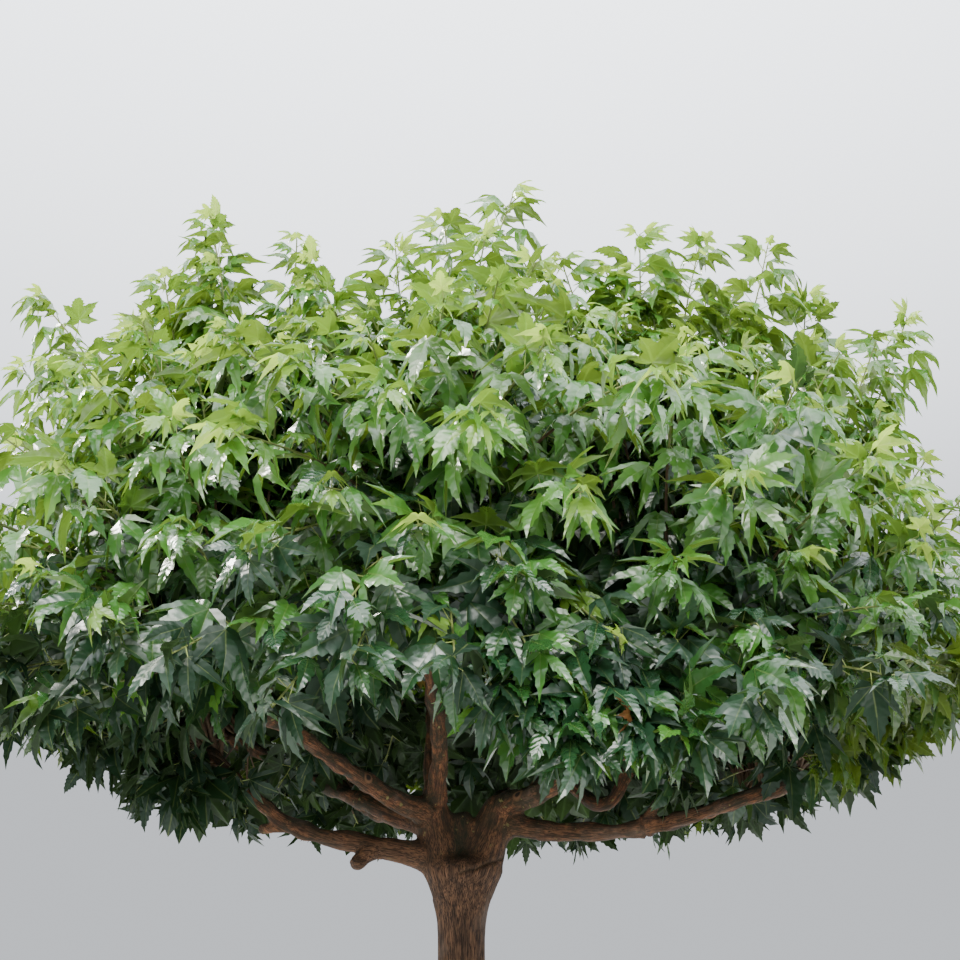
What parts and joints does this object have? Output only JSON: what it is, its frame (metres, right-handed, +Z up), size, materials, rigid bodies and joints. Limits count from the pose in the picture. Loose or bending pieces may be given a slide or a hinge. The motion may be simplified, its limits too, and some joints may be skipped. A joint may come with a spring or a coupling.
{
  "type": "pollarded mulberry tree",
  "caption": "Whole pollarded mulberry tree in full summer leaf: short straight trunk with root flare, knobbly head, spreading boughs and a broad umbrella crown of upright leafy shoots.",
  "frame": {"origin": "centre of the flat cut under the trunk, at ground level", "axes": "+Z up along the trunk, -Y towards the front of the tree as pictured, +X to the right of that view"},
  "size_m": [4.9395, 4.9444, 4.7491],
  "materials": {
    "bark": "rough fissured bark",
    "foliage": "glossy summer leaves"
  },
  "bodies": {
    "root": {"trunk": "bark", "arm_left": "bark", "arm_right": "bark", "bough_left": "bark", "bough_right": "bark", "bough_front_left": "bark", "bough_front_right": "bark", "bough_front": "bark", "bough_back_left": "bark", "bough_back_right": "bark", "bough_back": "bark", "bough_back_mid": "bark", "bough_right_back": "bark", "bough_right_curl": "bark", "bough_top_left": "bark", "bough_top_right": "bark", "foliage_left": "foliage", "foliage_right": "foliage", "foliage_front_left": "foliage", "foliage_front_right": "foliage", "foliage_front": "foliage", "foliage_back_left": "foliage", "foliage_back_right": "foliage", "foliage_back": "foliage", "foliage_back_mid": "foliage", "foliage_right_back": "foliage", "foliage_right_curl": "foliage", "foliage_top_left": "foliage", "foliage_top_right": "foliage"}
  },
  "joints": []
}
